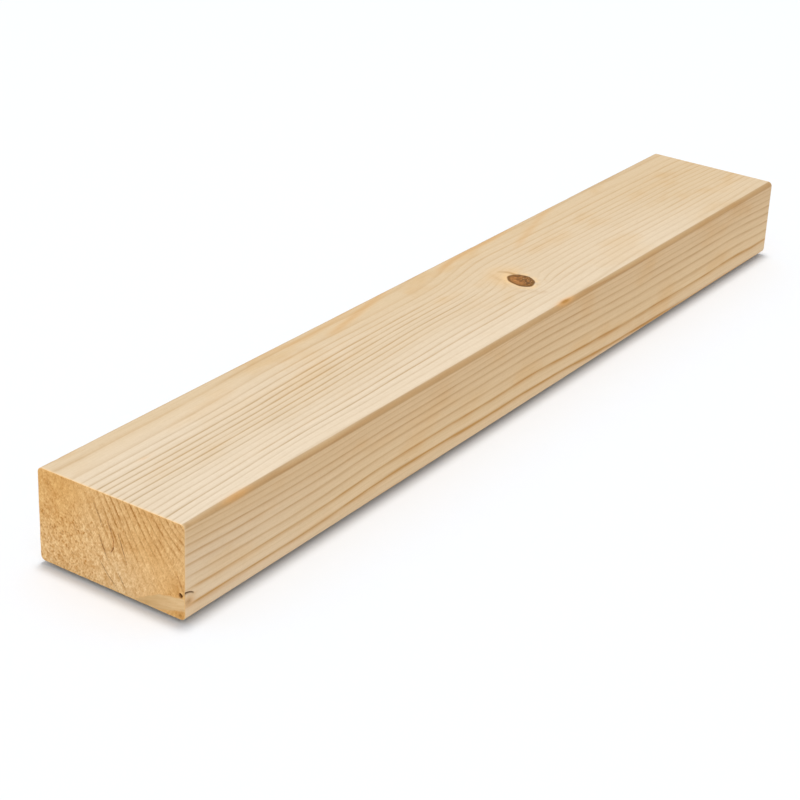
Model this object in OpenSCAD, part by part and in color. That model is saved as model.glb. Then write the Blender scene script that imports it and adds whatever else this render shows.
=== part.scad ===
// Plank of planed softwood: one solid length of timber with a rectangular
// section, four rounded-over long arrises and two square-sawn ends.
// It lies flat on its broad face: X across the width, Y along the length,
// Z up through the thickness. The origin is the centre of the bottom face.

/* [Section] */
// Width of the plank across its broad face, in mm
plank_w = 90; // [60:1:150]
// Thickness of the plank, from the bottom face to the top face, in mm
plank_t = 50; // [20:1:75]

/* [Length] */
// Length of the plank between its two sawn ends, in mm
plank_l = 600; // [200:10:2400]

/* [Edges] */
// Radius of the round-over planed along each of the four long arrises, in mm
arris_r = 3; // [1:0.5:8]

/* [Hidden] */

// half the width of the flat part of the broad face
flat_hw = plank_w / 2 - arris_r;
// colour of freshly planed pale softwood
wood_colour = [0.86, 0.74, 0.55];

// The cross-section, drawn with its bottom edge on the X axis: two crossing
// rectangles that stop short of the corners, and a true arc in each corner.
module eased_section(w, t, r) {
    translate([-w / 2 + r, 0]) square([w - 2 * r, t]);
    translate([-w / 2, r]) square([w, t - 2 * r]);
    for (sx = [-1, 1], z = [r, t - r])
        translate([sx * flat_hw, z]) circle(r = r, $fn = 64);
}

// The whole plank, as one solid: the section run along the grain.
module plank() {
    color(wood_colour)
        translate([0, plank_l / 2, 0])
            rotate([90, 0, 0])
                linear_extrude(height = plank_l)
                    eased_section(plank_w, plank_t, arris_r);
}

plank();
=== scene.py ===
import math

import bpy
import numpy as np
from mathutils import Matrix, Vector


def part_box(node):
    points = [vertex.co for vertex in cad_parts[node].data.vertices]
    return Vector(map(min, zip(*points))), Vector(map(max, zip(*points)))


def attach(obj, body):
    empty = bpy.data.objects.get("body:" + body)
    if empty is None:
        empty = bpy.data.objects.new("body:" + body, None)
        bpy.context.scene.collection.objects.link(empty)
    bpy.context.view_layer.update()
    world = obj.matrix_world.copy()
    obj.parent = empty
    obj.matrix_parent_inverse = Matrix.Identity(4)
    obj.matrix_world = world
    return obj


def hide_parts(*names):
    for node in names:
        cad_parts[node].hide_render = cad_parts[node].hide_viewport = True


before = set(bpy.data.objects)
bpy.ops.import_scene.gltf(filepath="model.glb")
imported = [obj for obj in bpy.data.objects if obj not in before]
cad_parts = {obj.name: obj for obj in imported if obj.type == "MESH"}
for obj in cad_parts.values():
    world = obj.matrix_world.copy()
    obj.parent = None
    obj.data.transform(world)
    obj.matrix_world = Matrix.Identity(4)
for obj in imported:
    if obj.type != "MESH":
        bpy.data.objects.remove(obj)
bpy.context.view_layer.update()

# Everything below is worked out in millimetres, in the part's frame, and is
# written to the mesh in metres: X across the width, Y along the grain, Z up.
blo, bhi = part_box("plank")
HW = (bhi[0] - blo[0]) * 500.0          # half the width
TH = (bhi[2] - blo[2]) * 1000.0         # thickness
HL = (bhi[1] - blo[1]) * 500.0          # half the length
R0 = 3.0                                # round-over of the long arrises


# --------------------------------------------------------------------------
# small numeric tools
# --------------------------------------------------------------------------
def hash01(ix, iy, iz, seed):
    """A fixed pseudo-random number in 0..1 for each lattice point."""
    h = (ix.astype(np.int64) * 374761393 + iy.astype(np.int64) * 668265263
         + iz.astype(np.int64) * 2147483647 + seed * 1274126177) & 0xFFFFFFFF
    h = ((h ^ (h >> 13)) * 1274126177) & 0xFFFFFFFF
    h = ((h ^ (h >> 16)) * 2246822519) & 0xFFFFFFFF
    return ((h ^ (h >> 15)) & 0xFFFFFF) / float(0x1000000)


def noise(x, y, z, seed=0):
    """Smooth value noise in -1..1, one cell per unit."""
    x, y, z = np.broadcast_arrays(np.asarray(x, float), np.asarray(y, float), np.asarray(z, float))
    fx, fy, fz = np.floor(x), np.floor(y), np.floor(z)
    tx, ty, tz = x - fx, y - fy, z - fz
    tx, ty, tz = (t * t * t * (t * (t * 6 - 15) + 10) for t in (tx, ty, tz))
    out = 0.0
    for a in (0, 1):
        for b in (0, 1):
            for c in (0, 1):
                w = (tx if a else 1 - tx) * (ty if b else 1 - ty) * (tz if c else 1 - tz)
                out = out + w * hash01(fx + a, fy + b, fz + c, seed)
    return out * 2.0 - 1.0


def smooth(a, b, x):
    t = np.clip((np.asarray(x, float) - a) / (b - a), 0.0, 1.0)
    return t * t * (3 - 2 * t)


def bump(x, c, w):
    return np.exp(-((np.asarray(x, float) - c) / w) ** 2)


# --------------------------------------------------------------------------
# growth rings: one solid field through the whole plank
# --------------------------------------------------------------------------
# The tree's heart lies below and to the left of the section. grow() is the
# distance outward across the rings, in mm at mid width, and RING_AT holds the
# distance at which each year's dark latewood ends, from the oldest to the
# newest. Rings are wide near the heart and close up towards the bark.
RING_AT = [-65.0, -60.0, -55.0, -50.6, -48.2, -45.6, -42.3, -37.7, -30.9, -25.9, -21.7, -16.9, -12.9,
           -8.7, -4.9, -0.9, 3.1, 7.3, 11.0, 15.0, 18.8, 22.4, 25.2, 27.8, 30.3, 33.0]
NEWEST = 3  # the last entry's number; the numbers run down towards the heart
# How far the rings wander sideways, in mm, every 50 mm of the length: on the
# top face at x = -32, 0 and +32, and on the right edge face at z = 8, 27 and 45.
WANDER_TOP = {-32: [0.5, -0.4, -0.5, -1.4, -0.7, 1.6, 2.2, -2.7, -0.4, 0.8, 0.2, 0.6, -1.7],
              0: [-0.6, 0.4, 1.0, 0.4, -0.1, -1.1, 0.4, -0.8, -1.2, -0.4, 0.7, -0.4, 0.5],
              32: [0.2, 0.2, -0.7, 0.0, 0.0, 0.1, 0.3, 0.8, 0.3, 0.2, 0.3, 0.3, -0.7]}
WANDER_EDGE = {8: [1.0, 0.4, -0.2, 0.0, -0.5, -0.8, -0.4, -0.5, -0.6, -0.2, -0.2, 0.1, 0.0],
               27: [0.4, -0.2, -0.3, 0.4, 0.5, 0.5, 1.0, 0.3, 0.1, 0.2, 0.2, 0.4, -0.9],
               45: [-0.5, -0.7, -0.3, -0.4, -0.4, -0.1, 0.4, -0.2, -0.3, 0.0, -0.3, -0.2, -0.2]}


def wander(table, c, wc, y):
    out = 0.0
    for at, row in table.items():
        g = bump(c, at, wc)
        for i, v in enumerate(row):
            if v:
                out = out + v * g * bump(y, -300.0 + 50.0 * i, 36.0)
    return out


def grow(x, y, z):
    """Distance outward across the rings. The taper and sweep of the log make it
    drift along the length, and the rings lean over towards the far end."""
    X, Z, Y = x / 45.0, (z - 50.0) / 50.0, y / 300.0
    s = x + 30.99 * Z - 3.25 * X * X + 10.43 * X * Z + 1.34 * Z * Z
    s = s - 10.74 * X ** 3 - 1.58 * X * X * Z + 2.38 * X * Z * Z - 4.01 * Z ** 3
    s = s + Y * (9.09 - 5.19 * X - 1.29 * Z - 2.13 * X * X - 2.09 * X * Z - 0.51 * Z * Z)
    s = s + Y ** 2 * (-3.96 + 0.92 * X - 3.36 * Z + 1.25 * X * Z + 5.82 * X * X + 0.75 * Z * Z)
    s = s + Y ** 3 * (-6.4 + 2.77 * X + 2.13 * Z + 0.81 * X * Z)
    s = s + Y ** 4 * (-1.61 - 0.83 * X + 0.04 * Z) + Y ** 5 * (1.48 + 1.91 * X + 0.83 * Z)
    s = s - np.exp(-((TH - z) / 24.0) ** 2) * wander(WANDER_TOP, x, 24.0, y)
    s = s - np.exp(-((HW - x) / 24.0) ** 2) * smooth(50, 47, z) * wander(WANDER_EDGE, z, 14.0, y)
    return s


def ring_number(s):
    at = np.array(RING_AT)
    ids = np.arange(NEWEST - len(at) + 1, NEWEST + 1, dtype=float)
    out = np.interp(s, at, ids)
    out = np.where(s < at[0], ids[0] + (s - at[0]) / 4.0, out)
    return np.where(s > at[-1], ids[-1] + (s - at[-1]) / 3.0, out)


# The branch that shows as a knot on the top face. It grows up and to the right
# from the heart, so it is thinner where it leaves the bottom face.
KNOT_TOP = (7.5, 43.3)        # centre on the top face
KNOT_BOT = (-12.0, 31.0)      # centre on the bottom face
KNOT_RX, KNOT_RY = 9.6, 7.6   # half its size along its long and short axes, on top
KNOT_TURN = -0.58             # how far the long axis is turned from X


def knot_local(x, y, z):
    """Offset from the branch's own axis, in units of its radius there."""
    t = z / TH
    cx = KNOT_BOT[0] + (KNOT_TOP[0] - KNOT_BOT[0]) * t
    cy = KNOT_BOT[1] + (KNOT_TOP[1] - KNOT_BOT[1]) * t
    k = 0.56 + 0.44 * t
    dx, dy = x - cx, y - cy
    ca, sa = math.cos(KNOT_TURN), math.sin(KNOT_TURN)
    ex, ey = ca * dx + sa * dy, -sa * dx + ca * dy
    return ex / (KNOT_RX * k), ey / (KNOT_RY * k), dx, dy, k


def rings(x, y, z):
    """Ring number at a point, with the grain parting round the branch."""
    ex, ey, dx, dy, k = knot_local(x, y, z)
    rho2 = dx * dx / (KNOT_RX * k) ** 2 + (dy / (KNOT_RY * k * 1.9)) ** 2
    push = 1.0 - 0.82 / np.maximum(rho2 + 0.25, 0.82)
    push = 1.0 - (1.0 - push) * np.exp(-np.maximum(rho2 - 1.0, 0) * 0.35)
    return ring_number(grow(x - dx * (1.0 - push) * 0.75, y, z))


# --------------------------------------------------------------------------
# the mesh
# --------------------------------------------------------------------------
NX, NZ, NA = 108, 58, 6        # divisions across the broad face, the edge, and each arris
SPLIT = {True: 2, False: 1}    # the near end is divided this many times finer
INSET = 3.5                    # how far the inner grid of an end stands in from the rim
RIM = 0.30                     # the sawn edge is broken by about this much


def row_places():
    """Places of the cross rows along the length: close at the ends and the knot."""
    y = [-HL + RIM]
    while y[-1] < HL - RIM:
        a = y[-1]
        h = 7.0
        h = min(h, 0.5 + 0.13 * max(0.0, a + HL - 8.0) if a < 0 else 9.9)
        h = min(h, 0.6 + 0.16 * max(0.0, HL - 3.0 - a) if a > 0 else 9.9)
        h = min(h, 0.80 + 0.18 * max(0.0, abs(a - KNOT_TOP[1]) - 12.5))
        y.append(a + h)
    y = np.array(y[:-1] + [HL - RIM])
    if y[-1] - y[-2] < 0.25:
        y = np.delete(y, -2)
    return y


def arris_radius(y, corner):
    """Round-over radius along the length, for corners 0 bottom right, 1 top right,
    2 top left, 3 bottom left. The cutter bites less at the near end of the top right."""
    r = R0 - 0.12 + 0.10 * noise(y / 45.0, corner * 7.3, 0.5, 11)
    if corner == 1:
        r = r - 0.6 * np.exp(-((y + HL) / 12.0) ** 2)
    return r


def perimeter(y):
    """Points (x, z) and outward directions round the section at each y."""
    y = np.atleast_1d(y)
    r = [arris_radius(y, c)[:, None] for c in range(4)]
    parts = []

    def line(x0, z0, x1, z1, n, qx, qz):
        t = np.arange(n)[None, :] / n
        one = np.ones((len(y), n))
        parts.append((x0 + (x1 - x0) * t + 0 * one, z0 + (z1 - z0) * t + 0 * one, qx * one, qz * one))

    def arc(cx, cz, rad, start):
        g = start + (np.arange(NA)[None, :] / NA) * math.pi / 2
        one = np.ones((len(y), NA))
        parts.append((cx + rad * np.cos(g), cz + rad * np.sin(g), np.cos(g) * one, np.sin(g) * one))

    line(-HW + r[3], 0, HW - r[0], 0, NX, 0, -1)
    arc(HW - r[0], r[0], r[0], -math.pi / 2)
    line(HW, r[0], HW, TH - r[1], NZ, 1, 0)
    arc(HW - r[1], TH - r[1], r[1], 0)
    line(HW - r[1], TH, -HW + r[2], TH, NX, 0, 1)
    arc(-HW + r[2], TH - r[2], r[2], math.pi / 2)
    line(-HW, TH - r[2], -HW, r[3], NZ, -1, 0)
    arc(-HW + r[3], r[3], r[3], math.pi)
    return [np.concatenate([p[k] for p in parts], 1) for k in range(4)]


ROWS = row_places()
NR = len(ROWS)
PX, PZ, QX, QZ = perimeter(ROWS)
NP = PX.shape[1]


def targets(k):
    """The inner grid node (column, row) that each rim point runs in to, k per step."""
    a, b, c = k * NX, k * NZ, k * NA
    out = [(i, 0) for i in range(a)] + [(a, 0)] * c + [(a, j) for j in range(b)] + [(a, b)] * c
    return out + [(a - i, b) for i in range(a)] + [(0, b)] * c + [(0, b - j) for j in range(b)] + [(0, 0)] * c


# Features of the near end, as (x, z) in mm.
PIN = (42.1, 12.8)                                            # the small open hole
CRACK = [(-1.9, 36.6), (-0.5, 33.0), (0.8, 29.4), (1.6, 26.8), (1.9, 24.9)]
CRACK2 = [(1.9, 24.7), (1.7, 23.3), (0.9, 21.6), (-0.1, 20.0)]
CHECK = [(40.3, 22.3), (41.5, 19.4), (42.8, 16.6), (43.9, 14.6)]
SPLITS = [((-7.3, 27.0), (-4.8, 20.5), (-2.0, 15.0)), ((-7.0, 13.0), (-2.6, 7.4), (2.8, 2.2)),
          ((4.6, 31.5), (7.0, 24.5), (9.6, 17.0)), ((4.0, 11.0), (6.4, 6.6), (9.0, 2.2)),
          ((-10.0, 42.5), (-6.5, 36.0), (-4.8, 31.0))]
# The branch cut along its length at the bottom right: its upper and lower edges.
SPIKE_X = [10.0, 15.0, 22.0, 29.0, 36.0, 44.0, 46.0]
SPIKE_UP = [-1.2, 1.0, 5.0, 8.4, 10.2, 11.4, 11.6]
SPIKE_LO = [-3.0, -2.0, -0.8, 0.9, 2.4, 5.2, 5.6]
# The crack that runs from the hole into the right edge face, as (y, z) in mm.
SIDE_CRACK = [(-300.0, 14.7), (-298.2, 14.6), (-296.2, 14.1), (-294.9, 13.5), (-293.7, 12.8)]


def poly_dist(px, pz, pts):
    """Distance to a polyline (signed by its side), the nearest point, and how far along (0..1)."""
    best = np.full(np.shape(px), 1e9)
    bx, bz, along, sign = best.copy(), best.copy(), best.copy(), best.copy()
    total = sum(math.dist(a, b) for a, b in zip(pts, pts[1:]))
    run = 0.0
    for a, b in zip(pts, pts[1:]):
        d = math.dist(a, b)
        ux, uz = (b[0] - a[0]) / d, (b[1] - a[1]) / d
        t = np.clip(((px - a[0]) * ux + (pz - a[1]) * uz) / d, 0, 1)
        qx, qz = a[0] + (b[0] - a[0]) * t, a[1] + (b[1] - a[1]) * t
        e = np.hypot(px - qx, pz - qz)
        m = e < best
        best, bx, bz = np.where(m, e, best), np.where(m, qx, bx), np.where(m, qz, bz)
        sign = np.where(m, np.where((px - a[0]) * uz - (pz - a[1]) * ux >= 0, 1.0, -1.0), sign)
        along = np.where(m, (run + t * d) / total, along)
        run += d
    return best, bx, bz, along, sign


def draw_in(x, z, pts, reach, amount):
    """Pulls grid nodes towards a polyline, so that a fine feature has enough faces."""
    d, qx, qz = poly_dist(x, z, pts)[:3]
    k = 1.0 - amount * np.exp(-(d / reach) ** 2)
    return qx + (x - qx) * k, qz + (z - qz) * k


def spike_weight(x, z, near):
    """1 inside the branch that the near end shows cut along its length."""
    if not near:
        return np.zeros_like(x)
    up = np.interp(x, SPIKE_X, SPIKE_UP) + 0.45 * noise(x * 0.45, 0.5, 2.5, 51)
    lo = np.interp(x, SPIKE_X, SPIKE_LO) + 0.55 * noise(x * 0.40, 0.5, 6.5, 51)
    ragged = 0.35 * noise(x * 0.5 + z, z * 1.2, 2.5, 51)
    return smooth(-0.55, 0.45, up - z + ragged) * smooth(-0.6, 0.6, z - lo + ragged) * smooth(11, 20, x)


def end_relief(x, z, near):
    """How deep the sawn end lies under its plane, in mm; where it is ragged or open, painted darker, partly the ragged
    wood's own colour and partly painted shade in the hollows; and its painted light and shade, lighter where it stands
    proud and darker where it lies deep.
    """
    s = 0 if near else 40
    ring = rings(x, np.full_like(x, -HL if near else HL), z)
    f = ring - np.floor(ring)
    late = smooth(0.45, 0.92, f) * (1 - smooth(0.97, 1.0, f))
    spike = spike_weight(x, z, near)
    # the blade leaves leaning marks, and fibres tear out and stand up along them
    a = math.radians(63 if near else 117)
    along, across = x * math.cos(a) - z * math.sin(a), x * math.sin(a) + z * math.cos(a)
    swirl = 1.2 * noise(x * 0.05, z * 0.05, 4.5, 20 + s)
    saw = np.sin(across * 1.9 + 1.6 * noise(across * 0.2, along * 0.05, 1.7, 21 + s))
    fuzzy = smooth(22, -16, x) * smooth(50, 20, z) if near else smooth(-30, 20, x) * smooth(0, 34, z)
    fuzzy = 0.25 + 0.75 * fuzzy
    streak = noise((across + swirl) * 0.80, along * 0.16, 7.5, 24 + s)
    streak2 = noise((across + swirl) * 1.30, along * 0.40, 5.5, 27 + s)
    tuft = noise(x * 1.15 + 0.35 * z, z * 0.95, 9.5, 25 + s)
    tuft2 = noise(x * 1.45 + 0.6 * z, z * 1.20 - 0.45 * x, 2.5, 26 + s)
    rough = 0.060 * streak + 0.060 * streak2 + (0.035 + 0.100 * fuzzy) * tuft + (0.04 + 0.110 * fuzzy) * tuft2
    rough = rough * (1 - 0.75 * spike)
    if near:
        # inside the cut branch the fibres run along the face
        ux, uz = 0.965, 0.262
        u, v = x * ux + z * uz, -x * uz + z * ux
        rough = rough + spike * (0.075 * noise(v * 1.1, u * 0.12, 1.5, 52) + 0.04 * noise(v * 2.0, u * 0.3, 1.5, 53))
    depth = 0.26 + 0.018 * saw + rough - 0.035 * late * (1 - spike)
    pit = smooth(0.16, 0.50, tuft2) * fuzzy * (1 - spike)
    pit = np.maximum(pit, smooth(0.46, 0.8, streak) * (1 - spike) * 0.8)
    depth = depth + 0.14 * pit
    # pits are painted darker: painted shade in the hollows, partly the ragged fibres' own colour
    tear_and_shade = 0.42 * pit
    # lighter where the end stands proud and darker where it lies deep: painted light and shade on the relief
    relief_shading = np.clip(-rough / 0.19, -1, 1)
    if near:
        # cracks, splits and the check are painted darker along with their depth: painted shade in the openings
        lines = [(CRACK, 0.40, 1.0, 0.95), (CRACK2, 0.36, 0.8, 0.80), (CHECK, 0.34, 0.5, 0.68)]
        lines += [(list(p), 0.42, 0.42, 0.84) for p in SPLITS]
        for pts, wide, deep, dark in lines:
            d, _, _, t, _ = poly_dist(x, z, pts)
            w = wide * (0.40 + 0.60 * np.sin(np.pi * np.clip(t, 0.04, 0.96)))
            g = np.exp(-((d + 0.12 * noise(x, z, 0.5, 54)) / w) ** 2)
            depth, tear_and_shade = depth + deep * g, np.maximum(tear_and_shade, g * dark)
        d = np.hypot((x - PIN[0]) / 1.18, (z - PIN[1]) / 1.34)
        depth = depth + 3.4 * (1 - smooth(0.42, 0.98, d))
        # the inside of the pin hole is painted dark: painted shade where the hole is deep
        tear_and_shade = np.maximum(tear_and_shade, 1 - smooth(0.7, 1.2, d))
        depth = depth + 0.06 * spike
    return depth, tear_and_shade, relief_shading, spike


def long_relief(x, y, z, flat):
    """How deep a long face lies under its plane, in mm, and where it is ragged or open, painted darker: partly the
    ragged wood's own colour, partly painted shade in the gaps.
    """
    ring = rings(x, y, z)
    f = ring - np.floor(ring)
    late = 0.5 + 0.5 * np.cos(2 * np.pi * f)
    depth = 0.055 - 0.030 * late + 0.020 * noise(x / 30, y / 90, z / 30, 31) + 0.012 * noise(x / 9, y / 24, z / 9, 32)
    torn_and_shade = np.zeros_like(depth)
    ex, ey, dx, dy, k = knot_local(x, y, z)
    rho, th = np.hypot(ex, ey), np.arctan2(ey, ex)
    on_top = smooth(TH - 0.5, TH - 0.02, z)
    on_bot = smooth(0.5, 0.02, z)
    for face, seed in ((on_top, 33), (on_bot, 34)):
        wob = knot_edge(th)
        q = rho / wob
        # hard wood stands a hair proud, the grain round it is pulled low, and the bark ring has opened
        depth = depth + face * (0.10 * bump(q, 1.45, 0.42) - 0.03 * (1 - smooth(0.85, 1.0, q)))
        depth = depth + face * (1 - smooth(0.86, 0.96, q)) * (
            0.035 * np.cos(q * 17.0) + 0.06 * np.clip(noise(dx * 0.8, dy * 0.8, seed + 0.5, 35), -0.2, 1))
        gap = np.exp(-((q - 1.0) / 0.06) ** 2) * (0.35 + 0.65 * np.clip(np.cos(th - 2.2), 0, 1))
        depth = depth + face * 0.34 * gap
        # the opened ring is painted darker: partly dark bark, partly painted shade in the gap
        torn_and_shade = np.maximum(torn_and_shade, face * gap * 0.42)
    # the crack beside the pin hole, on the right edge face, painted darker as shade in the crack
    d, _, _, t, _ = poly_dist(y, z, SIDE_CRACK)
    side = smooth(HW - 0.6, HW - 0.05, x)
    g = side * np.exp(-(d / (0.62 * (1.1 - 0.62 * t))) ** 2)
    depth, torn_and_shade = depth + 0.85 * g, np.maximum(torn_and_shade, g)
    # small dents along the arrises and on the faces
    nick = smooth(0.62, 0.9, noise(x / 3.1, y / 9.0, z / 3.1, 36)) * (1 - flat) * 0.10
    depth = depth + nick + 0.05 * smooth(0.66, 0.95, noise(x / 5, y / 26, z / 5, 37))
    return np.clip(depth, 0.004, None), np.clip(torn_and_shade, 0, 1)


def knot_edge(th):
    return 1 + 0.035 * np.sin(2 * th + 0.6) + 0.03 * np.sin(3 * th + 2.0) + 0.015 * np.sin(7 * th)


def build():
    X, Z, Y = PX.copy(), PZ.copy(), np.repeat(ROWS[:, None], NP, 1)
    flat = np.maximum(np.abs(QX), np.abs(QZ)) > 0.9999
    # gather the rows and columns of the right face towards the side crack
    y2, z2 = draw_in(Y, Z, SIDE_CRACK, 1.8, 0.60)
    fade = smooth(-HL + 14, -HL + 9, Y) * smooth(4, 7, Z) * smooth(24, 19, Z) * (QX > 0.999)
    fade[0] = 0.0
    Y, Z = Y + (y2 - Y) * fade, Z + (z2 - Z) * fade
    # and the columns of the broad faces towards the knot
    for cx, cy, q in ((*KNOT_TOP, 1.0), (*KNOT_BOT, -1.0)):
        g = 0.32 * np.exp(-((X - cx) / 15.0) ** 2 - ((Y - cy) / 20.0) ** 2) * (QZ * q > 0.999)
        X = X - (X - cx) * g
    depth, torn_and_shade = long_relief(X, Y, Z, flat.astype(float))
    verts = [np.stack([X - QX * depth, Y, Z - QZ * depth], -1).reshape(-1, 3)]
    src = [np.stack([X, Y, Z], -1).reshape(-1, 3)]
    nrm = [np.stack([QX, QZ], -1).reshape(-1, 2)]
    tear_and_shade, relief_shading, spike = [torn_and_shade.ravel()], [np.zeros(NR * NP)], [np.zeros(NR * NP)]
    endness, pale_edges_and_highlight = [np.zeros(NR * NP)], [np.zeros(NR * NP)]
    quads, tris, quv, tuv = [], [], [], []

    seg = np.hypot(np.diff(np.append(PX[NR // 2], PX[NR // 2, 0])), np.diff(np.append(PZ[NR // 2], PZ[NR // 2, 0])))
    run = np.concatenate([[0], np.cumsum(seg)])
    V = run / run[-1] * 0.735 + 0.005
    U = (ROWS + HL) / (2 * HL) * 0.99 + 0.005
    j, p = (g.ravel() for g in np.meshgrid(np.arange(NR - 1), np.arange(NP), indexing="ij"))
    q = (p + 1) % NP
    quads.append(np.stack([j * NP + p, j * NP + q, (j + 1) * NP + q, (j + 1) * NP + p], -1))
    quv.append(np.stack([np.stack([U[j], V[p]], -1), np.stack([U[j], V[p + 1]], -1),
                         np.stack([U[j + 1], V[p + 1]], -1), np.stack([U[j + 1], V[p]], -1)], 1))
    count = NR * NP

    for near in (True, False):
        k = SPLIT[near]
        ax, az, np_f = k * NX, k * NZ, k * NP
        row = 0 if near else NR - 1
        yend, inward = (-HL, 1.0) if near else (HL, -1.0)
        rx, rz = PX[row], PZ[row]
        # the rim of the sawn face, stepped in by a ragged bevel
        at = np.arange(NP)
        rag = RIM * (0.75 + 0.35 * noise(at * 0.35, 0.5, row, 41) + 0.25 * noise(at * 1.1, 0.5, row, 42))
        rag = np.clip(rag, 0.10, 0.55)
        rimx, rimz = rx - QX[row] * rag, rz - QZ[row] * rag
        gx, gz = np.linspace(-HW + INSET, HW - INSET, ax + 1), np.linspace(INSET, TH - INSET, az + 1)
        GX, GZ = np.meshgrid(gx, gz, indexing="ij")
        tgt = np.array([i * (az + 1) + b for i, b in targets(k)])
        f = np.arange(np_f)
        a, b, t = f // k, (f // k + 1) % NP, (f % k) / k
        fx, fz = rimx[a] * (1 - t) + rimx[b] * t, rimz[a] * (1 - t) + rimz[b] * t
        steps = (0.10, 0.24, 0.40, 0.58, 0.78) if near else (0.22, 0.58)
        lx, lz = [rimx], [rimz]
        for t in steps:
            lx.append(fx + (GX.ravel()[tgt] - fx) * t)
            lz.append(fz + (GZ.ravel()[tgt] - fz) * t)
        ex, ez = np.concatenate(lx + [GX.ravel()]), np.concatenate(lz + [GZ.ravel()])
        if near:
            hold = np.concatenate([np.zeros(NP), np.full(np_f, 0.5), np.ones(len(ex) - NP - np_f)])
            hx, hz = ex, ez
            for pts, reach, amount in ((CRACK + CRACK2, 1.6, 0.35), (CHECK, 1.2, 0.25)):
                hx, hz = draw_in(hx, hz, pts, reach, amount)
            d = np.hypot(hx - PIN[0], hz - PIN[1])
            g = 1 - 0.50 * np.exp(-(d / 2.2) ** 2)
            hx, hz = PIN[0] + (hx - PIN[0]) * g, PIN[1] + (hz - PIN[1]) * g
            ex, ez = ex + (hx - ex) * hold, ez + (hz - ez) * hold
        dep, tr_shade, end_shading, sp = end_relief(ex, ez, near)
        dep = dep * np.concatenate([np.full(NP, 0.30), np.full(np_f, 0.7), np.ones(len(ex) - NP - np_f)])
        dep = np.clip(dep, 0.012, None)
        verts.append(np.stack([ex, yend + inward * dep, ez], -1))
        src.append(np.stack([ex, np.full_like(ex, yend), ez], -1))
        nrm.append(np.zeros((len(ex), 2)))
        tear_and_shade.append(tr_shade), relief_shading.append(end_shading), spike.append(sp), endness.append(np.ones(len(ex)))
        # the rim of the sawn face and the ring inside it are paler: partly pale fibres, partly a painted highlight
        pale_edges_and_highlight.append(np.concatenate([np.ones(NP), np.full(np_f, 0.45), np.zeros(len(ex) - NP - np_f)]))
        base, body0 = count, row * NP
        u0 = 0.005 if near else 0.505

        def uv_of(i):
            i = np.asarray(i)
            body = i < NR * NP
            m, c = np.where(body, 0, i - base), np.where(body, i - body0, 0)
            px, pz = np.where(body, rx[c % NP], ex[m]), np.where(body, rz[c % NP], ez[m])
            w = (px + HW) / (2 * HW)
            return np.stack([u0 + (w if near else 1 - w) * 0.49, 0.755 + pz / TH * 0.24], -1)

        def add(f3or4):
            if len(f3or4) == 0:
                return
            g = f3or4[:, ::-1] if near else f3or4
            (quads if g.shape[1] == 4 else tris).append(g)
            (quv if g.shape[1] == 4 else tuv).append(uv_of(g))

        def strip(a, b):
            n = np.roll(np.arange(len(a)), -1)
            f4 = np.stack([a, a[n], b[n], b], -1)
            same = b[n] == b
            add(f4[~same])
            add(f4[same][:, :3])

        rim = base + np.arange(NP)
        strip(body0 + np.arange(NP), rim)
        first = base + NP
        ringf = [first + n * np_f + np.arange(np_f) for n in range(len(steps))]
        ringf.append(first + len(steps) * np_f + tgt)
        if k == 1:
            strip(rim, ringf[0])
        else:
            # each step of the rim meets k finer steps
            a, b = rim, np.roll(rim, -1)
            fine = [ringf[0][(k * np.arange(NP) + m) % np_f] for m in range(k + 1)]
            half = k // 2
            for m in range(k):
                add(np.stack([a if m < half else b, fine[m + 1], fine[m]], -1))
            add(np.stack([a, b, fine[half]], -1))
        for a, b in zip(ringf, ringf[1:]):
            strip(a, b)
        i, m = (g.ravel() for g in np.meshgrid(np.arange(ax), np.arange(az), indexing="ij"))
        a = first + len(steps) * np_f + i * (az + 1) + m
        add(np.stack([a, a + az + 1, a + az + 2, a + 1], -1))
        count += len(ex)

    cat = np.concatenate
    return (cat(verts), cat(src), cat(nrm), cat(quads), cat(tris), cat(quv), cat(tuv), cat(tear_and_shade), cat(relief_shading),
            cat(spike), cat(endness), cat(pale_edges_and_highlight))


V3, SRC, NRM, QUADS, TRIS, QUV, TUV, TEAR_AND_SHADE, RELIEF_SHADING, SPK, ENDN, PALE_EDGES_AND_HIGHLIGHT = build()

# turn the faces outward if the loops run the other way
a, b, c, d = (V3[QUADS[:, i]] for i in range(4))
vol = np.einsum("ij,ij->i", a, np.cross(b, c)).sum() + np.einsum("ij,ij->i", a, np.cross(c, d)).sum()
if vol < 0:
    QUADS, QUV, TRIS, TUV = QUADS[:, ::-1], QUV[:, ::-1], TRIS[:, ::-1], TUV[:, ::-1]

mesh = bpy.data.meshes.new("plank_timber")
mesh.vertices.add(len(V3))
mesh.vertices.foreach_set("co", (V3 * 0.001).ravel())
loops = np.concatenate([QUADS.ravel(), TRIS.ravel()])
starts = np.concatenate([np.arange(len(QUADS)) * 4, len(QUADS) * 4 + np.arange(len(TRIS)) * 3])
mesh.loops.add(len(loops))
mesh.loops.foreach_set("vertex_index", loops.astype(np.int32))
mesh.polygons.add(len(starts))
mesh.polygons.foreach_set("loop_start", starts.astype(np.int32))
mesh.polygons.foreach_set("loop_total", np.concatenate([np.full(len(QUADS), 4), np.full(len(TRIS), 3)]).astype(np.int32))
uv = mesh.uv_layers.new(name="OFBake")
uv.data.foreach_set("uv", np.concatenate([QUV.reshape(-1, 2), TUV.reshape(-1, 2)]).ravel())
mesh.update(calc_edges=True)
mesh.validate()
mesh.shade_smooth()
mesh.set_sharp_from_angle(angle=math.radians(42))


def attribute(name, values):
    att = mesh.attributes.new(name, "FLOAT", "POINT")
    att.data.foreach_set("value", np.asarray(values, np.float32))


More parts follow.
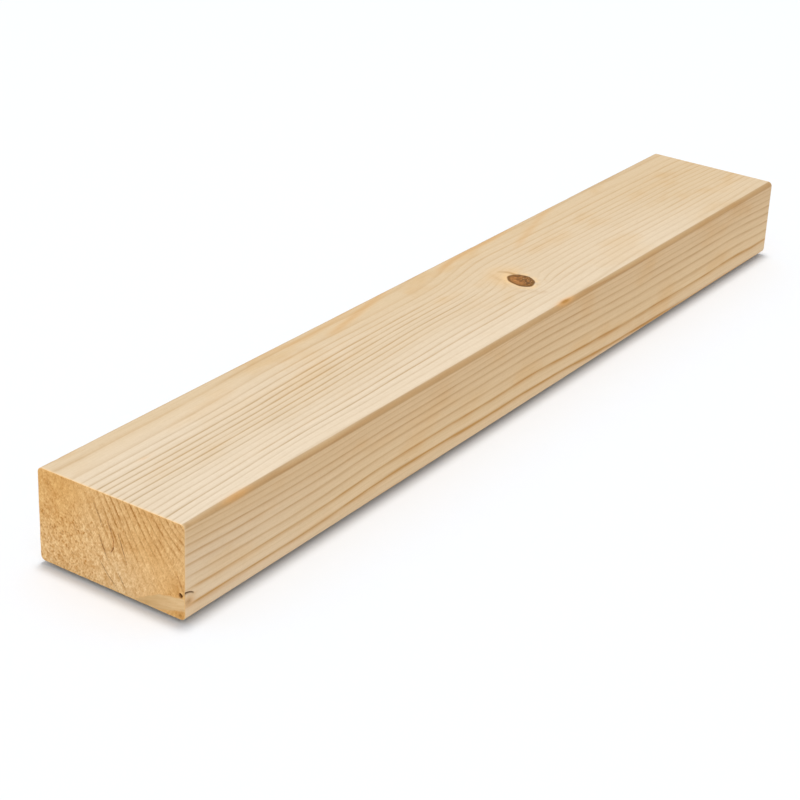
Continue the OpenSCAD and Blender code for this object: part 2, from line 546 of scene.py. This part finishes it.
# --------------------------------------------------------------------------
# what the material needs to know about each point of the wood
# --------------------------------------------------------------------------
sx, sy, sz = SRC.T
RING = rings(sx, sy, sz)
EDGEW = np.abs(NRM[:, 0])                       # 1 on the edge faces, 0 on the broad faces
ROUND = np.where((ENDN < 0.5) & (np.abs(NRM).max(1) < 0.9999), 1.0, 0.0)
kx, ky, kdx, kdy, kk = knot_local(sx, sy, sz)
kth = np.arctan2(ky, kx)
kx, ky = kx / knot_edge(kth), ky / knot_edge(kth)
krho = np.hypot(kx, ky)

# how strongly each year's dark line is drawn, by ring number, at the near end of
# the top face, past the knot on the top face, and on the edge faces
YEARS = [-21, -18, -15, -14, -13, -12, -11, -10, -9, -8, -7, -6, -5, -4, -3, -2, -1, 0, 1, 2, 3]
TOP_A = [8, 7, 5, 5, 7, 8, 13, 11, 14, 8, 14, 11, 8, 5, 7, 9, 11, 6, 3, 4, 6]
TOP_B = [8, 7, 5, 6, 5, 10, 8, 8, 9, 7, 8, 7, 6, 6, 7, 7, 7, 5, 5, 5, 6]
EDGE = [10, 9, 9, 9, 10, 9, 10, 9, 9, 10, 10, 17, 13, 10, 11, 12, 13, 7, 8, 7, 7]
line = [np.interp(RING, YEARS, t) for t in (TOP_A, TOP_B, EDGE)]
line[0] = line[0] * (1.36 - 0.30 * smooth(-120, -10, sy))
far = smooth(-20, 70, sy)
vig = line[0] * (1 - far) + line[1] * far
vig = vig * (1 - EDGEW) + line[2] * EDGEW
late_edge = EDGEW * smooth(-250, -40, sy) * bump(RING, -5.6, 0.9) * 5.0
vig = vig * (1 - 0.12 * EDGEW) * (1 - 0.75 * EDGEW * np.exp(-((sy + HL) / 7.5) ** 2) * smooth(34, 10, sz))
vig = (vig + late_edge) / 14.0
# the branch blurs the rings beside it
soft = np.exp(-(np.maximum(krho - 1.0, 0) / 1.3) ** 2)
soft = np.maximum(soft, np.exp(-((sx + 8) / 15.0) ** 2 - ((sy - 34) / 34.0) ** 2) * 0.75 * smooth(TH - 6, TH, sz))
vig = vig * (1 - 0.75 * soft)
end_vig = (0.10 + 0.80 * smooth(-20, 2, sx) * smooth(15, 38, sz + 0.18 * (12 - sx))
           + 0.30 * bump(sx, 6, 13) * smooth(6, 20, sz))
vig = np.where(ENDN > 0.5, np.where(sy < 0, end_vig, 0.75), vig)

# pale sapwood (0) to warm heartwood (1), in mean steps across and along each face
GRID_Y = [-270.0, -170.0, -25.0, 125.0, 245.0]
WARM_TOP = {-36: [0.80, 0.95, 1.00, 1.00, 0.95], -18: [0.10, 0.40, 0.66, 0.82, 0.98],
            7: [0.22, 0.48, 0.60, 0.58, 0.92], 30: [0.02, 0.14, 0.24, 0.34, 0.68]}
WARM_END = {43: {-34: 1.0, -15: 0.70, 5: 0.65, 25: 0.70, 40: 0.65}, 27: {-34: 0.85, -15: 0.40, 5: 0.62, 25: 0.68, 40: 0.72},
            12: {-34: 0.55, -15: 0.40, 5: 0.12, 25: 0.45, 40: 0.95}}


def warm_top(x, y):
    cols = np.stack([np.interp(y, GRID_Y, row) for row in WARM_TOP.values()], -1)
    at = np.array(list(WARM_TOP), float)
    w = np.stack([np.interp(x, at, np.eye(len(at))[i]) for i in range(len(at))], -1)
    return (cols * w).sum(-1)


def warm_end(x, z):
    rows = sorted(WARM_END)
    vals = np.stack([np.interp(x, list(WARM_END[r]), list(WARM_END[r].values())) for r in rows], -1)
    w = np.stack([np.interp(z, rows, np.eye(len(rows))[i]) for i in range(len(rows))], -1)
    return (vals * w).sum(-1)


warm = warm_top(sx, sy) * (1 - EDGEW) + (0.55 + 0.25 * smooth(-300, 300, sy)) * EDGEW
warm = np.where(ENDN > 0.5, warm_end(np.where(sy > 0, -sx, sx), sz), warm)
warm = warm + 0.10 * noise(sx / 22, sy / 60, sz / 22, 61)

# curved brown streaks beside the left edge of the top face, as (x, y)
STREAKS = [((-49, -152), (-44, -137), (-40, -118), (-38.2, -104), (-39.2, -90), (-41.5, -68), (-44, -45), (-47, -30)),
           ((-31.5, -95), (-31.5, -85), (-34, -72), (-36.3, -60), (-39.5, -44), (-42.1, -30), (-44.5, -18), (-48, -8)),
           ((-37.5, 20), (-38.5, 30), (-40.5, 42), (-41.8, 60), (-41.5, 85), (-43.5, 105), (-46, 122)),
           ((-22, 82), (-26, 96), (-30, 110), (-33.7, 123), (-37, 134), (-39.4, 142), (-41.8, 154), (-46, 170))]
STREAK_W = [0.40, 0.72, 0.75, 0.45]
sd, sw = np.full(len(sx), 9.0), np.zeros(len(sx))
for pts, w in zip(STREAKS, STREAK_W):
    d = poly_dist(sx, sy, pts)[0]
    win = smooth(pts[0][1] - 2, pts[0][1] + 14, sy) * smooth(pts[-1][1] + 4, pts[-1][1] - 14, sy)
    m = d < sd
    sd, sw = np.where(m, d, sd), np.where(m, w * win, sw)
sw = sw * smooth(TH - 4, TH - 1, sz) * (1 - ENDN)

# resin-brown spots, mostly on the top right arris
SPOTS = [(44.2, -262.5, 49.2, 2.2, 9.0, 0.60), (42.9, 33.5, 49.8, 1.9, 7.5, 1.0), (44.9, -297.6, 9.8, 2.8, 4.2, 0.78),
         (44.9, -293.6, 12.2, 1.2, 3.0, 0.25), (-12.0, -262.0, 50.0, 0.8, 3.5, 0.35), (-45, 120.0, 30.0, 1.6, 9.0, 0.5)]
spot = np.zeros(len(sx))
for px, py, pz, rr, ry, w in SPOTS:
    g = np.hypot(sx - px, sz - pz) / rr
    spot = np.maximum(spot, w * np.exp(-g * g - ((sy - py) / ry) ** 2) * (1 - ENDN))
for px, pz, rr, w in ((41.8, 2.2, 1.7, 0.8), (38.6, 15.8, 3.2, 0.50), (40.3, 14.0, 1.1, 0.60), (43.0, 4.0, 1.2, 0.6), (36.5, 20.5, 2.2, 0.25)):
    spot = np.maximum(spot, w * np.exp(-((sx - px) ** 2 + (sz - pz) ** 2) / rr ** 2) * ENDN * (sy < 0))

# the dark smear that trails from the knot
smear = np.zeros(len(sx))
for pts, w, k in (([(-9.2, 45.8), (-7.2, 47.6), (-4.4, 48.9), (-1.0, 48.6)], 1.25, 0.95),
                  ([(-9.5, 38.5), (-5.5, 36.8), (-3.0, 35.6)], 1.5, 0.30), ([(16.0, 27.0), (17.0, 31.0)], 1.5, 0.32),
                  ([(21.8, 31.0), (22.8, 35.0)], 1.6, 0.30), ([(25.8, 32.5), (26.8, 37.5)], 1.5, 0.34)):
    d, _, _, t, _ = poly_dist(sx, sy, pts)
    smear = np.maximum(smear, k * np.exp(-(d / w) ** 2) * (0.45 + 0.55 * t) * smooth(TH - 1, TH - 0.3, sz))

# the rounded arrises are darker and warmer: the top right most, the left ones less, the lower right not at all; the top
# right one is a little paler near the near end and darkest at its very end
arris_darkening = ROUND * np.where((sx > 0) & (sz > 25), 0.85 + 0.15 * smooth(-298, -272, sy) + 0.35 * bump(sy, -299.5, 2.5), np.where(sx > 0, 0.0, 0.45))
# sawn edges are paler, partly their rubbed fibres' own colour and partly a painted highlight where the edge catches the
# light; the lower part of the right arris is a painted highlight
PALE_EDGES_AND_HIGHLIGHT = np.maximum(PALE_EDGES_AND_HIGHLIGHT, (1 - ENDN) * (np.exp(-((sy + HL) / 1.0) ** 2) + 0.6 * np.exp(-((sy - HL) / 1.0) ** 2)))
PALE_EDGES_AND_HIGHLIGHT = np.maximum(PALE_EDGES_AND_HIGHLIGHT, 0.55 * ROUND * (sx > 0) * (sz < 25))
for name, values in (("ring", RING), ("vigour", vig), ("warm", warm), ("knot_x", np.clip(kx, -9, 9)),
                     ("knot_y", np.clip(ky, -9, 9)), ("torn_and_shade", TEAR_AND_SHADE), ("relief_shading", RELIEF_SHADING), ("spike", SPK),
                     ("end_grain", ENDN), ("arris_darkening", arris_darkening), ("side", EDGEW), ("streak", sd), ("streak_w", sw),
                     ("spot", spot), ("smear", smear), ("rim", PALE_EDGES_AND_HIGHLIGHT)):
    attribute(name, values)

plank = bpy.data.objects.new("plank_timber", mesh)
bpy.context.scene.collection.objects.link(plank)
print("plank_timber triangles", int(len(QUADS) * 2 + len(TRIS)), "rows", NR)


# --------------------------------------------------------------------------
# materials
# --------------------------------------------------------------------------
def lin(r, g, b):
    """An sRGB colour from 0..255, as linear light."""
    return tuple((c / 12.92 if c <= 0.04045 else ((c + 0.055) / 1.055) ** 2.4) for c in (r / 255, g / 255, b / 255))


class Net:
    """Short names for building a node tree."""

    def __init__(self, tree):
        self.t = tree

    def new(self, kind, **props):
        n = self.t.nodes.new(kind)
        for k, v in props.items():
            setattr(n, k, v)
        return n

    def put(self, sock, v):
        if isinstance(v, bpy.types.NodeSocket):
            self.t.links.new(v, sock)
        elif v is not None:
            if sock.type == "RGBA" and len(v) == 3:
                v = (*v, 1.0)
            sock.default_value = v

    def m(self, op, a, b=None, c=None, clamp=False):
        n = self.new("ShaderNodeMath", operation=op, use_clamp=clamp)
        for s, v in zip(n.inputs, (a, b, c)):
            self.put(s, v)
        return n.outputs[0]

    def v(self, op, a, b=None):
        n = self.new("ShaderNodeVectorMath", operation=op)
        for s, x in zip(n.inputs, (a, b)):
            self.put(s, x)
        return n.outputs["Value"] if op in ("LENGTH", "DISTANCE", "DOT_PRODUCT") else n.outputs[0]

    def scaled(self, vec, x, y, z, ox=0.0, oy=0.0, oz=0.0):
        n = self.new("ShaderNodeMapping", vector_type="POINT")
        self.put(n.inputs["Vector"], vec)
        n.inputs["Scale"].default_value = (x, y, z)
        n.inputs["Location"].default_value = (ox, oy, oz)
        return n.outputs[0]

    def noise(self, vec, scale=1.0, detail=2.0, rough=0.5, dist=0.0):
        n = self.new("ShaderNodeTexNoise", noise_dimensions="3D")
        self.put(n.inputs["Vector"], vec)
        n.inputs["Scale"].default_value = scale
        n.inputs["Detail"].default_value = detail
        n.inputs["Roughness"].default_value = rough
        n.inputs["Distortion"].default_value = dist
        return n.outputs["Fac"]

    def white(self, w):
        n = self.new("ShaderNodeTexWhiteNoise", noise_dimensions="1D")
        self.put(n.inputs["W"], w)
        return n.outputs["Value"]

    def step(self, x, a, b):
        """Smoothly 0 below a and 1 above b (or the other way if a > b)."""
        n = self.new("ShaderNodeMapRange", interpolation_type="SMOOTHSTEP")
        lo, hi = (a, b) if a < b else (b, a)
        self.put(n.inputs["Value"], x)
        n.inputs["From Min"].default_value = lo
        n.inputs["From Max"].default_value = hi
        n.inputs["To Min"].default_value = 0.0 if a < b else 1.0
        n.inputs["To Max"].default_value = 1.0 if a < b else 0.0
        return n.outputs[0]

    def remap(self, x, a, b, c, d):
        n = self.new("ShaderNodeMapRange", interpolation_type="LINEAR")
        self.put(n.inputs["Value"], x)
        for k, val in zip(("From Min", "From Max", "To Min", "To Max"), (a, b, c, d)):
            n.inputs[k].default_value = val
        return n.outputs[0]

    def ramp(self, x, stops, mode="LINEAR"):
        n = self.new("ShaderNodeValToRGB")
        cr = n.color_ramp
        cr.interpolation = mode
        while len(cr.elements) < len(stops):
            cr.elements.new(0.5)
        for e, (p, c) in zip(cr.elements, stops):
            e.position = p
            e.color = (c, c, c, 1) if isinstance(c, (int, float)) else (*c, 1)
        self.put(n.inputs[0], x)
        return n.outputs["Color"]

    def mix(self, f, a, b, mode="MIX"):
        n = self.new("ShaderNodeMix", data_type="RGBA", blend_type=mode, clamp_factor=True)
        self.put(n.inputs[0], f)
        self.put(n.inputs[6], a)
        self.put(n.inputs[7], b)
        return n.outputs[2]

    def fmix(self, f, a, b):
        n = self.new("ShaderNodeMix", data_type="FLOAT", clamp_factor=True)
        self.put(n.inputs[0], f)
        self.put(n.inputs[2], a)
        self.put(n.inputs[3], b)
        return n.outputs[0]

    def attr(self, name):
        n = self.new("ShaderNodeAttribute", attribute_type="GEOMETRY", attribute_name=name)
        return n.outputs["Fac"]


def timber_material():
    mat = bpy.data.materials.new("planed_softwood")
    mat.use_nodes = True
    t = mat.node_tree
    t.nodes.clear()
    n = Net(t)
    out = n.new("ShaderNodeOutputMaterial")
    sh = n.new("ShaderNodeBsdfPrincipled")
    t.links.new(sh.outputs[0], out.inputs[0])

    obj = n.new("ShaderNodeTexCoord").outputs["Object"]
    P = n.v("MULTIPLY", obj, (1000.0, 1000.0, 1000.0))      # position in mm
    sep = n.new("ShaderNodeSeparateXYZ")
    n.put(sep.inputs[0], P)
    x, y, z = sep.outputs
    ring, vigour, warm = n.attr("ring"), n.attr("vigour"), n.attr("warm")
    end, torn_and_shade, relief_shading_a, spike = n.attr("end_grain"), n.attr("torn_and_shade"), n.attr("relief_shading"), n.attr("spike")
    arris_darkening, side, spot = n.attr("arris_darkening"), n.attr("side"), n.attr("spot")
    smear, pale_edges_and_highlight_w = n.attr("smear"), n.attr("rim")
    sd, sw = n.attr("streak"), n.attr("streak_w")
    kx, ky = n.attr("knot_x"), n.attr("knot_y")

    def around(v):
        """A noise value moved to be centred on 0, about -1..1."""
        return n.m("MULTIPLY", n.m("SUBTRACT", v, 0.5), 2.0)

    def tint(col, amount, r, g, b):
        """Multiplies a colour by 1 + amount * (r, g, b)."""
        c = n.new("ShaderNodeCombineColor")
        for i, k in enumerate((r, g, b)):
            n.put(c.inputs[i], n.m("MULTIPLY_ADD", amount, k, 1.0))
        return n.mix(1.0, col, c.outputs[0], "MULTIPLY")

    # ---- rings -------------------------------------------------------------
    wob = around(n.noise(n.scaled(P, 0.09, 0.006, 0.09), 1.0, 2.0))
    wob2 = around(n.noise(n.scaled(P, 0.55, 0.020, 0.55), 1.0, 2.0))
    phi = n.m("ADD", ring, n.m("MULTIPLY_ADD", wob, 0.10, n.m("MULTIPLY", wob2, 0.10)))
    f = n.m("FRACT", phi)
    rid = n.m("FLOOR", n.m("ADD", phi, 0.5))
    late = n.ramp(f, [(0.0, 1.0), (0.045, 0.52), (0.10, 0.12), (0.24, 0.0), (0.55, 0.04), (0.76, 0.20), (0.89, 0.62),
                      (0.965, 1.0)])
    drift = n.noise(n.scaled(P, 0.03, 0.012, 0.03, 3.0), 1.0, 2.0)
    broken = n.noise(n.scaled(P, 0.55, 0.045, 0.55, 8.0), 1.0, 2.0)
    vary = n.m("MULTIPLY", n.remap(drift, 0.32, 0.68, 0.78, 1.15), n.remap(broken, 0.30, 0.70, 0.72, 1.18))
    late = n.m("MULTIPLY", n.m("MULTIPLY", late, vigour), vary)
    # a faint second line inside some years
    false_ring = n.m("MULTIPLY", n.ramp(f, [(0.38, 0.0), (0.46, 1.0), (0.55, 0.0)]), n.m("MULTIPLY", n.white(rid), 0.16))
    late = n.m("ADD", late, n.m("MULTIPLY", false_ring, n.m("SUBTRACT", 1.0, end)), clamp=True)

    # ---- fibre and pore ----------------------------------------------------
    fib = around(n.noise(n.scaled(P, 1.10, 0.035, 1.10), 1.0, 3.0, 0.6))
    fine = around(n.noise(n.scaled(P, 2.6, 0.14, 2.6), 1.0, 2.0, 0.6))
    grit = around(n.noise(n.scaled(P, 1.25, 0.80, 1.25, 6.0), 1.0, 2.0, 0.65))
    cross = around(n.noise(n.scaled(P, 0.35, 0.55, 0.35, 2.0), 1.0, 1.0, 0.5))
    broad = around(n.noise(n.scaled(P, 0.07, 0.0055, 0.07, 9.0), 1.0, 2.0))
    cloud = n.noise(n.scaled(P, 0.05, 0.020, 0.05, 4.0), 1.0, 3.0)

    # ---- long faces ---------------------------------------------------------
    # painted shade on the edge faces: darker towards their top, lighter low down where the floor's light reaches them
    shade = n.ramp(n.m("MULTIPLY", z, 0.02), [(0.0, (1.0, 1.0, 1.0)), (0.30, SIDE_SHADE_MID), (1.0, SIDE_SHADE_TOP)])
    # the edge faces get warmer colours than the broad faces: painted light for the warm light thrown on them
    edge = n.mix(1.0, n.mix(warm, SIDE_PALE, SIDE_WARM), shade, "MULTIPLY")
    # the lower part of the edge faces is paler towards the near end
    pale = n.m("MULTIPLY", n.step(y, -150.0, -290.0), n.step(z, 44.0, 30.0))
    edge = tint(edge, pale, 0.02, 0.06, 0.17)
    early = n.mix(side, n.mix(warm, EARLY_PALE, EARLY_WARM), edge)
    orange = n.noise(n.scaled(P, 0.07, 0.010, 0.07, 2.0), 1.0, 1.0)
    orange = n.m("ADD", n.remap(orange, 0.35, 0.65, -0.25, 0.25), warm, clamp=True)
    late_top = n.mix(orange, LATE_GREY, LATE_ORANGE)
    late_side = n.mix(n.step(ring, -3.6, -5.2), LATE_SIDE, LATE_SIDE_ORANGE)
    col = n.mix(late, early, n.mix(side, late_top, late_side))
    amt = n.m("MULTIPLY_ADD", fib, 0.080, n.m("MULTIPLY", fine, 0.055))
    amt = n.m("ADD", amt, n.m("MULTIPLY_ADD", grit, 0.050, n.m("MULTIPLY", cross, 0.016)))
    amt = n.m("ADD", amt, n.m("MULTIPLY", broad, 0.030))
    col = tint(col, amt, 1.0, 1.15, 1.45)
    # warm patches, strongest in the heartwood
    patch = n.m("MULTIPLY", n.step(cloud, 0.50, 0.70), n.m("MULTIPLY_ADD", warm, 0.60, 0.12), clamp=True)
    col = n.mix(patch, col, n.mix(1.0, col, (0.965, 0.87, 0.72), "MULTIPLY"))
    # short dark flecks along the grain
    fleck = n.step(n.noise(n.scaled(P, 1.4, 0.10, 1.4, 7.0), 1.0, 1.0), 0.74, 0.80)
    col = n.mix(n.m("MULTIPLY", fleck, 0.30), col, lin(176, 136, 88))
    # brown streaks
    sdn = n.m("ADD", sd, n.m("MULTIPLY_ADD", wob2, 0.7, n.m("MULTIPLY", fib, 0.4)))
    core = n.m("MULTIPLY", sdn, 0.50)
    core = n.m("POWER", 2.718, n.m("MULTIPLY", n.m("MULTIPLY", core, core), -1.0))
    wide = n.step(sdn, 5.5, 0.0)
    col = n.mix(n.m("MULTIPLY", n.m("MULTIPLY", wide, sw), 0.50), col, lin(216, 178, 124))
    col = n.mix(n.m("MULTIPLY", n.m("MULTIPLY", core, sw), 0.62), col, lin(190, 146, 92))
    # the arrises are darker and warmer
    col = n.mix(arris_darkening, col, n.mix(1.0, col, ARRIS_DARKENING_COLOUR, "MULTIPLY"))
    # paler edges: partly their own colour, partly a painted highlight
    col = n.mix(n.m("MULTIPLY", pale_edges_and_highlight_w, 0.55), col, LONG_EDGE_PALE_AND_HIGHLIGHT)

    # ---- end grain ----------------------------------------------------------
    e_late = n.ramp(f, [(0.0, 0.95), (0.07, 0.30), (0.16, 0.02), (0.58, 0.03), (0.82, 0.38), (0.94, 1.0)])
    e_late = n.m("MULTIPLY", n.m("MULTIPLY", e_late, vigour), n.remap(n.noise(n.scaled(P, 0.16, 0.1, 0.16, 5.0), 1.0, 3.0, 0.6), 0.34, 0.64, 0.35, 1.35))
    rot = n.new("ShaderNodeVectorRotate", rotation_type="Y_AXIS")
    n.put(rot.inputs["Vector"], P)
    rot.inputs["Angle"].default_value = math.radians(-27)
    saw = around(n.noise(n.scaled(rot.outputs[0], 0.95, 0.02, 0.14), 1.0, 3.0, 0.6))
    saw2 = around(n.noise(n.scaled(rot.outputs[0], 2.0, 0.02, 0.42, 5.0), 1.0, 2.0, 0.6))
    pore = around(n.noise(n.scaled(P, 1.15, 0.4, 1.05, 1.0), 1.0, 3.0, 0.7))
    ecol = n.mix(warm, END_PALE, END_WARM)
    ecol = n.mix(n.m("MULTIPLY", e_late, 0.82, clamp=True), ecol, END_LATE)
    streak = n.m("MULTIPLY_ADD", saw, 0.24, n.m("MULTIPLY", saw2, 0.28))
    # the streaks carry the painted light and shade of the end's relief
    streak = n.m("ADD", streak, n.m("MULTIPLY_ADD", pore, 0.48, n.m("MULTIPLY", relief_shading_a, 0.40)))
    ecol = tint(ecol, n.m("MULTIPLY", streak, n.m("MULTIPLY_ADD", spike, -0.8, 1.0)), 0.62, 1.0, 1.55)
    # the branch cut lengthwise is pale, with its fibres along the face
    rot2 = n.new("ShaderNodeVectorRotate", rotation_type="Y_AXIS")
    n.put(rot2.inputs["Vector"], P)
    rot2.inputs["Angle"].default_value = math.radians(15)
    hair = around(n.noise(n.scaled(rot2.outputs[0], 0.11, 0.02, 0.95, 3.0), 1.0, 3.0, 0.65))
    scol = tint(n.mix(n.step(x, 18.0, 46.0), SPIKE_OLD, SPIKE_NEW), hair, 0.20, 0.30, 0.48)
    ecol = n.mix(n.m("MULTIPLY", spike, 0.90), ecol, scol)
    # paler rim of the sawn face: partly its own colour, partly a painted highlight
    ecol = n.mix(n.m("MULTIPLY", pale_edges_and_highlight_w, 0.55), ecol, END_RIM_PALE_AND_HIGHLIGHT)
    col = n.mix(end, col, ecol)

    # ---- resin spots --------------------------------------------------------
    sp = n.m("MULTIPLY", spot, n.remap(grit, -0.6, 0.6, 0.75, 1.2), clamp=True)
    col = n.mix(sp, col, n.mix(n.step(spot, 0.35, 0.95), lin(214, 158, 92), lin(168, 118, 50)))

    # ---- the knot -----------------------------------------------------------
    kv = n.new("ShaderNodeCombineXYZ")
    n.put(kv.inputs[0], kx)
    n.put(kv.inputs[1], ky)
    kn = around(n.noise(kv.outputs[0], 2.3, 2.0))
    long_face = n.m("SUBTRACT", 1.0, end)
    rho = n.m("MULTIPLY_ADD", kn, 0.035, n.v("LENGTH", kv.outputs[0]))
    years = n.m("FRACT", n.m("MULTIPLY_ADD", rho, 3.1, n.m("MULTIPLY", kn, 0.35)))
    heart = n.ramp(years, [(0.0, lin(118, 74, 24)), (0.30, lin(164, 110, 50)), (0.72, lin(150, 97, 40)),
                           (1.0, lin(112, 70, 22))])
    heart = n.mix(n.m("MULTIPLY", n.step(ky, 0.15, -0.5), 0.60), heart, lin(188, 126, 64))
    blot = n.noise(n.scaled(kv.outputs[0], 1.3, 1.0, 1.0, 1.35), 2.6, 3.0, 0.62)
    blot = n.m("MULTIPLY", n.step(blot, 0.44, 0.56), n.remap(ky, -0.8, 0.2, 0.25, 1.0))
    heart = n.mix(n.m("MULTIPLY", blot, 0.85), heart, lin(94, 58, 8))
    cream = n.noise(n.scaled(kv.outputs[0], 1, 1, 1, 5.0), 5.0, 2.0, 0.6)
    heart = n.mix(n.m("MULTIPLY", n.step(cream, 0.58, 0.70), n.step(ky, 0.0, 0.5)), heart, lin(216, 172, 112))
    heart = n.mix(n.m("MULTIPLY", n.step(rho, 0.68, 0.88), 0.9), heart, lin(110, 72, 18))
    inside = n.m("MULTIPLY", n.step(rho, 1.06, 0.94), long_face)
    patchy = n.noise(n.scaled(kv.outputs[0], 1, 1, 1, 2.2), 1.6, 2.0, 0.5)
    halo = n.m("MULTIPLY", n.m("MULTIPLY", n.step(rho, 1.55, 1.02), n.step(patchy, 0.36, 0.60)), long_face)
    smoke = n.noise(n.scaled(kv.outputs[0], 0.9, 0.9, 1.0, 0.4), 1.9, 3.0, 0.6)
    stain = n.m("MULTIPLY", n.m("MULTIPLY", n.step(smoke, 0.50, 0.68), n.step(rho, 2.6, 1.1)), long_face)
    aside = n.m("MULTIPLY_ADD", kx, 0.75, n.m("MULTIPLY", ky, 0.66))
    stain2 = n.m("MULTIPLY", n.m("MULTIPLY", n.step(rho, 3.1, 0.9), n.step(aside, 0.1, -1.2)), long_face)
    col = n.mix(n.m("MULTIPLY", stain2, 0.55), col, lin(216, 178, 124))
    col = n.mix(n.m("MULTIPLY", stain, 0.30), col, lin(190, 152, 100))
    col = n.mix(n.m("MULTIPLY", halo, 0.62), col, lin(230, 192, 138))
    col = n.mix(n.m("MULTIPLY", n.m("MULTIPLY", smear, long_face), 0.80), col, lin(162, 120, 66))
    col = n.mix(inside, col, heart)

    # ---- ragged and open places, painted darker: partly their own colour, partly painted shade in the openings ---
    dark = n.mix(end, lin(96, 58, 16), n.mix(n.step(torn_and_shade, 0.55, 0.95), lin(150, 96, 40), lin(88, 46, 2)))
    col = n.mix(n.m("MULTIPLY", n.step(torn_and_shade, 0.12, 0.95), 0.88), col, dark)

    n.put(sh.inputs["Base Color"], col)
    rough = n.m("MULTIPLY_ADD", fib, -0.05, n.fmix(end, 0.58, 0.84))
    n.put(sh.inputs["Roughness"], rough)
    sh.inputs["Specular IOR Level"].default_value = 0.20
    # ---- relief finer than the mesh ----------------------------------------
    h = n.m("MULTIPLY_ADD", fib, 0.020, n.m("MULTIPLY", fine, 0.012))
    h = n.m("ADD", h, n.m("MULTIPLY_ADD", grit, 0.022, n.m("MULTIPLY", late, 0.014)))
    he = n.m("MULTIPLY_ADD", saw, 0.07, n.m("MULTIPLY_ADD", saw2, 0.07, n.m("MULTIPLY", pore, 0.10)))
    bmp = n.new("ShaderNodeBump")
    bmp.inputs["Strength"].default_value = 1.0
    bmp.inputs["Distance"].default_value = 0.001
    n.put(bmp.inputs["Height"], n.fmix(end, h, he))
    n.put(sh.inputs["Normal"], bmp.outputs[0])
    return mat


# colours of the wood, and the painted light and shade put on it: the edge faces' warmer colours and their shade by
# height, and the paler highlighted edges
EARLY_PALE, EARLY_WARM = (0.686, 0.572, 0.430), (0.604, 0.460, 0.287)
LATE_GREY, LATE_ORANGE = (0.455, 0.328, 0.190), (0.465, 0.288, 0.125)
# the edge faces' colours: painted light, warmer than the broad faces' for the warm light thrown on them
SIDE_PALE, SIDE_WARM = (0.820, 0.620, 0.395), (0.800, 0.582, 0.345)
SIDE_SHADE_MID, SIDE_SHADE_TOP = (0.960, 0.943, 0.885), (0.870, 0.810, 0.725)
LATE_SIDE, LATE_SIDE_ORANGE = (0.520, 0.287, 0.112), (0.535, 0.270, 0.072)
ARRIS_DARKENING_COLOUR = (0.70, 0.62, 0.50)
END_PALE, END_WARM, END_LATE = (0.900, 0.622, 0.325), (0.800, 0.432, 0.134), (0.500, 0.225, 0.050)
SPIKE_OLD, SPIKE_NEW = lin(220, 180, 124), lin(237, 201, 150)
END_RIM_PALE_AND_HIGHLIGHT, LONG_EDGE_PALE_AND_HIGHLIGHT = lin(238, 192, 126), lin(238, 204, 158)

mesh.materials.append(timber_material())
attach(plank, "root")
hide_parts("plank")

# --------------------------------------------------------------------------
# floor, light and camera
# --------------------------------------------------------------------------
fm = bpy.data.meshes.new("studio_floor")
S = 14.0
fm.from_pydata([(-S, -S, -0.0020), (S, -S, -0.0020), (S, S, -0.0020), (-S, S, -0.0020)], [], [(0, 1, 2, 3)])
floor = bpy.data.objects.new("studio_floor", fm)
bpy.context.scene.collection.objects.link(floor)
fmat = bpy.data.materials.new("studio_white")
fmat.use_nodes = True
fb = fmat.node_tree.nodes["Principled BSDF"]
fb.inputs["Base Color"].default_value = (0.780, 0.805, 0.840, 1)
fb.inputs["Roughness"].default_value = 0.9
fb.inputs["Specular IOR Level"].default_value = 0.1
fm.materials.append(fmat)

scene = bpy.context.scene
scene.view_settings.view_transform = "Standard"
scene.view_settings.look = "None"
world = bpy.data.worlds.new("studio")
scene.world = world
world.use_nodes = True
bg = world.node_tree.nodes["Background"]
bg.inputs[0].default_value = (0.985, 0.99, 1.0, 1)
bg.inputs[1].default_value = 0.70


def area(name, loc, target, size, power, colour=(1, 1, 1)):
    ld = bpy.data.lights.new(name, "AREA")
    ld.shape = "RECTANGLE"
    ld.size, ld.size_y = size
    ld.energy = power
    ld.color = colour
    lo = bpy.data.objects.new(name, ld)
    lo.location = loc
    lo.rotation_mode = "QUATERNION"
    lo.rotation_quaternion = (Vector(target) - Vector(loc)).to_track_quat("-Z", "Y")
    scene.collection.objects.link(lo)
    return lo


# an overhead soft box a little behind and to the left, and a weak fill from the front
area("key_top", (-0.30, 0.22, 6.0), (0, 0, 0), (0.90, 0.90), 205.0, (1.0, 0.995, 0.98))
area("fill_front", (1.9, -3.2, 2.2), (0, 0, 0), (1.6, 1.6), 9.0, (1.0, 0.99, 0.97))

cam_data = bpy.data.cameras.new("camera")
cam_data.lens = 90.66
cam_data.sensor_width = 36.0
cam_data.clip_start, cam_data.clip_end = 0.05, 60.0
cam = bpy.data.objects.new("camera", cam_data)
scene.collection.objects.link(cam)
right = Vector((0.818402, 0.573186, 0.040947)).normalized()
up = Vector((-0.279854, 0.335314, 0.899581)).normalized()
back = right.cross(up)
up = back.cross(right)
cam.matrix_world = Matrix.Translation((0.55644, -0.89504, 0.49319)) @ Matrix((right, up, back)).transposed().to_4x4()
scene.camera = cam
